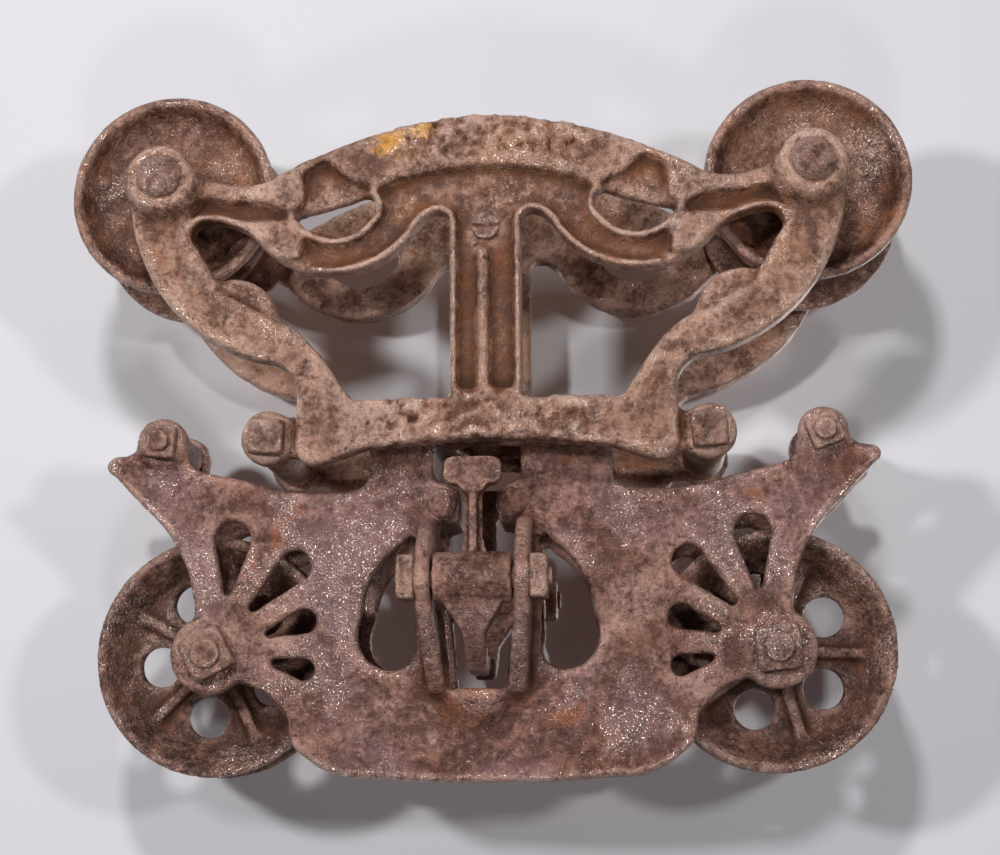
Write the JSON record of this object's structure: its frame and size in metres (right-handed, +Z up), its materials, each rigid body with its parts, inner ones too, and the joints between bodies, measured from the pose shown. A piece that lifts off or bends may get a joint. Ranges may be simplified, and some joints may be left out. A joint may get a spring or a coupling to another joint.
{
  "type": "hay trolley",
  "caption": "Cast iron barn hay trolley: flanged wheels hang a truck from a rail, and a swivelling lower frame below carries rope sheaves and a pair of swinging grab dogs.",
  "frame": {"origin": "midway between the four track wheel axles, on the centre line of the track", "axes": "+X along the track, +Y across it away from the front side, +Z up"},
  "size_m": [0.466, 0.159, 0.3815],
  "materials": {
    "truck_iron": "rusty, tan and pinkish brown with pale worn rims",
    "wheel_iron": "rusty, pitted, brown",
    "lower_iron": "rusty, purple brown, grainy with a faint metallic glitter",
    "sheave_iron": "rusty, worn smoother in the dish",
    "dog_iron": "rusty, worn brighter on the rounded edges",
    "bolt_steel": "rusted forged steel, worn corners"
  },
  "bodies": {
    "truck": {"truck_frame_front": "truck_iron", "truck_frame_back": "truck_iron", "axle_washers": "bolt_steel", "lug_bolts": "bolt_steel", "lug_nuts": "bolt_steel", "post_screws": "bolt_steel", "post_screw_nuts": "bolt_steel", "swivel_plate": "truck_iron", "axle_front_left": "bolt_steel", "axle_front_right": "bolt_steel", "axle_back_left": "bolt_steel", "axle_back_right": "bolt_steel"},
    "lower_frame": {"lower_frame_front": "lower_iron", "lower_frame_back": "lower_iron", "swivel_spool": "lower_iron", "swivel_collar": "lower_iron", "neck_pins": "bolt_steel", "sheave_bushes": "bolt_steel", "sheave_bolts": "bolt_steel", "sheave_nuts": "bolt_steel", "wing_bolts": "bolt_steel", "wing_nuts": "bolt_steel", "wing_spacers": "lower_iron", "dog_bolts": "bolt_steel", "dog_nuts": "bolt_steel"},
    "wheel_front_left": {"track_wheel_front_left": "wheel_iron"},
    "wheel_front_right": {"track_wheel_front_right": "wheel_iron"},
    "wheel_back_left": {"track_wheel_back_left": "wheel_iron"},
    "wheel_back_right": {"track_wheel_back_right": "wheel_iron"},
    "sheave_left_body": {"sheave_left": "sheave_iron"},
    "sheave_right_body": {"sheave_right": "sheave_iron"},
    "dog_front_body": {"dog_front": "dog_iron"},
    "dog_back_body": {"dog_back": "dog_iron"}
  },
  "joints": [
    {"name": "wheel_front_left_spin", "type": "hinge", "parent": "truck", "child": "wheel_front_left", "pos_m": [-0.176, -0.028, 0], "axis": [0, 1, 0], "continuous": true},
    {"name": "wheel_front_right_spin", "type": "hinge", "parent": "truck", "child": "wheel_front_right", "pos_m": [0.176, -0.028, 0], "axis": [0, 1, 0], "continuous": true},
    {"name": "wheel_back_left_spin", "type": "hinge", "parent": "truck", "child": "wheel_back_left", "pos_m": [-0.176, 0.028, 0], "axis": [0, 1, 0], "continuous": true},
    {"name": "wheel_back_right_spin", "type": "hinge", "parent": "truck", "child": "wheel_back_right", "pos_m": [0.176, 0.028, 0], "axis": [0, 1, 0], "continuous": true},
    {"name": "swivel", "type": "hinge", "parent": "truck", "child": "lower_frame", "pos_m": [0, 0, -0.132], "axis": [0, 0, 1], "range_deg": [-8, 8]},
    {"name": "sheave_left_spin", "type": "hinge", "parent": "lower_frame", "child": "sheave_left_body", "pos_m": [-0.152, 0, -0.256], "axis": [0, 1, 0], "continuous": true},
    {"name": "sheave_right_spin", "type": "hinge", "parent": "lower_frame", "child": "sheave_right_body", "pos_m": [0.152, 0, -0.256], "axis": [0, 1, 0], "continuous": true},
    {"name": "dog_front_swing", "type": "hinge", "parent": "lower_frame", "child": "dog_front_body", "pos_m": [-0.007, -0.066, -0.22], "axis": [1, 0, 0], "range_deg": [-10, 8]},
    {"name": "dog_back_swing", "type": "hinge", "parent": "lower_frame", "child": "dog_back_body", "pos_m": [-0.007, 0.066, -0.22], "axis": [1, 0, 0], "range_deg": [-8, 10]}
  ]
}
